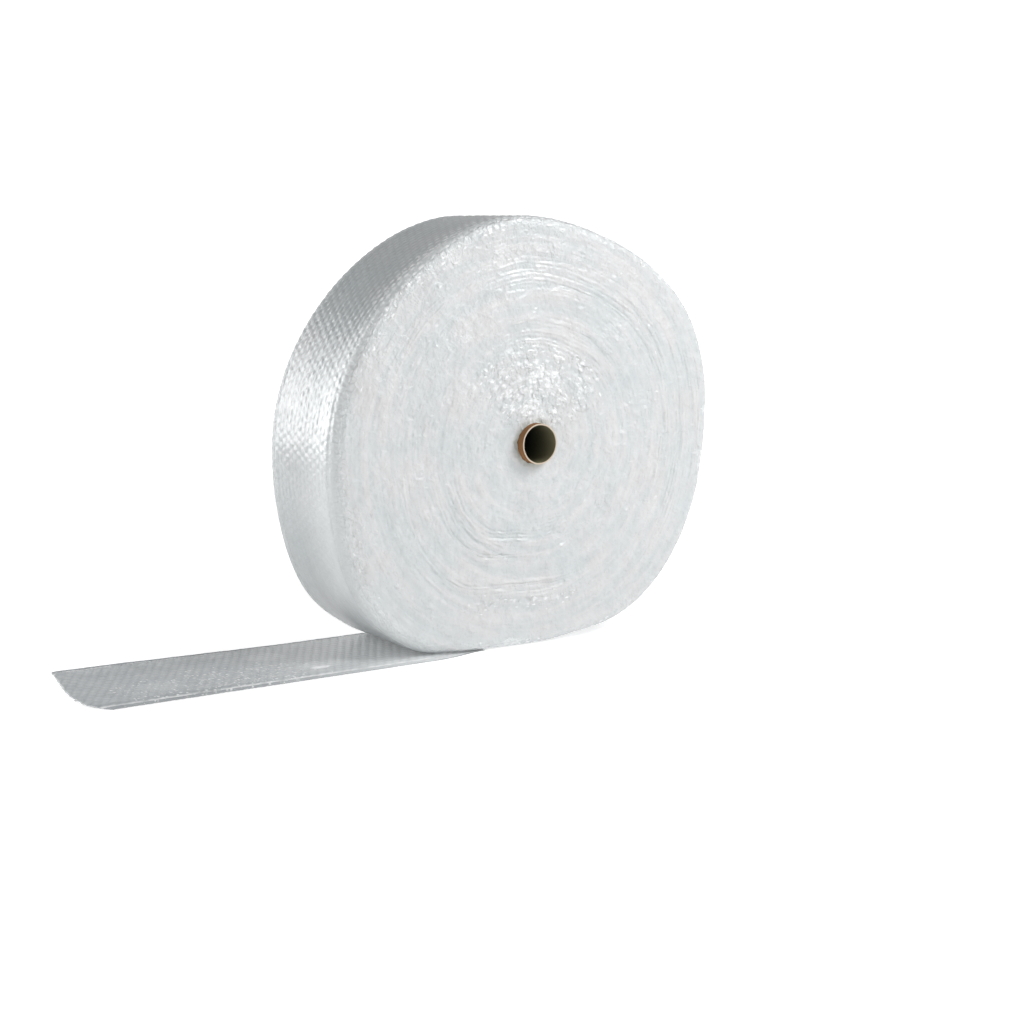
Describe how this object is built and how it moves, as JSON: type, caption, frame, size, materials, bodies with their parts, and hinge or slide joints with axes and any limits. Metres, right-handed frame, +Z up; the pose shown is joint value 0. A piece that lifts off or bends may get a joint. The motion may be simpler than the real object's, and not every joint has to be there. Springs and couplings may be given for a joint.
{
  "type": "bubble tubing roll",
  "caption": "Soft roll of clear lay-flat bubble tubing on a cardboard core, standing on its rim with the free end run out flat along the floor.",
  "frame": {"origin": "on the floor under the core's axis, halfway across the wound turns", "axes": "+Z up, -Y along the core out of the near face, -X along the floor towards the cut end of the tubing"},
  "size_m": [0.9305, 0.21, 0.5798],
  "materials": {
    "film": "clear glossy polyethylene, milky where many layers lie together",
    "cardboard": "plain brown wound paper"
  },
  "bodies": {
    "root": {"bubble_tubing": "film", "core_tube": "cardboard"}
  },
  "joints": []
}
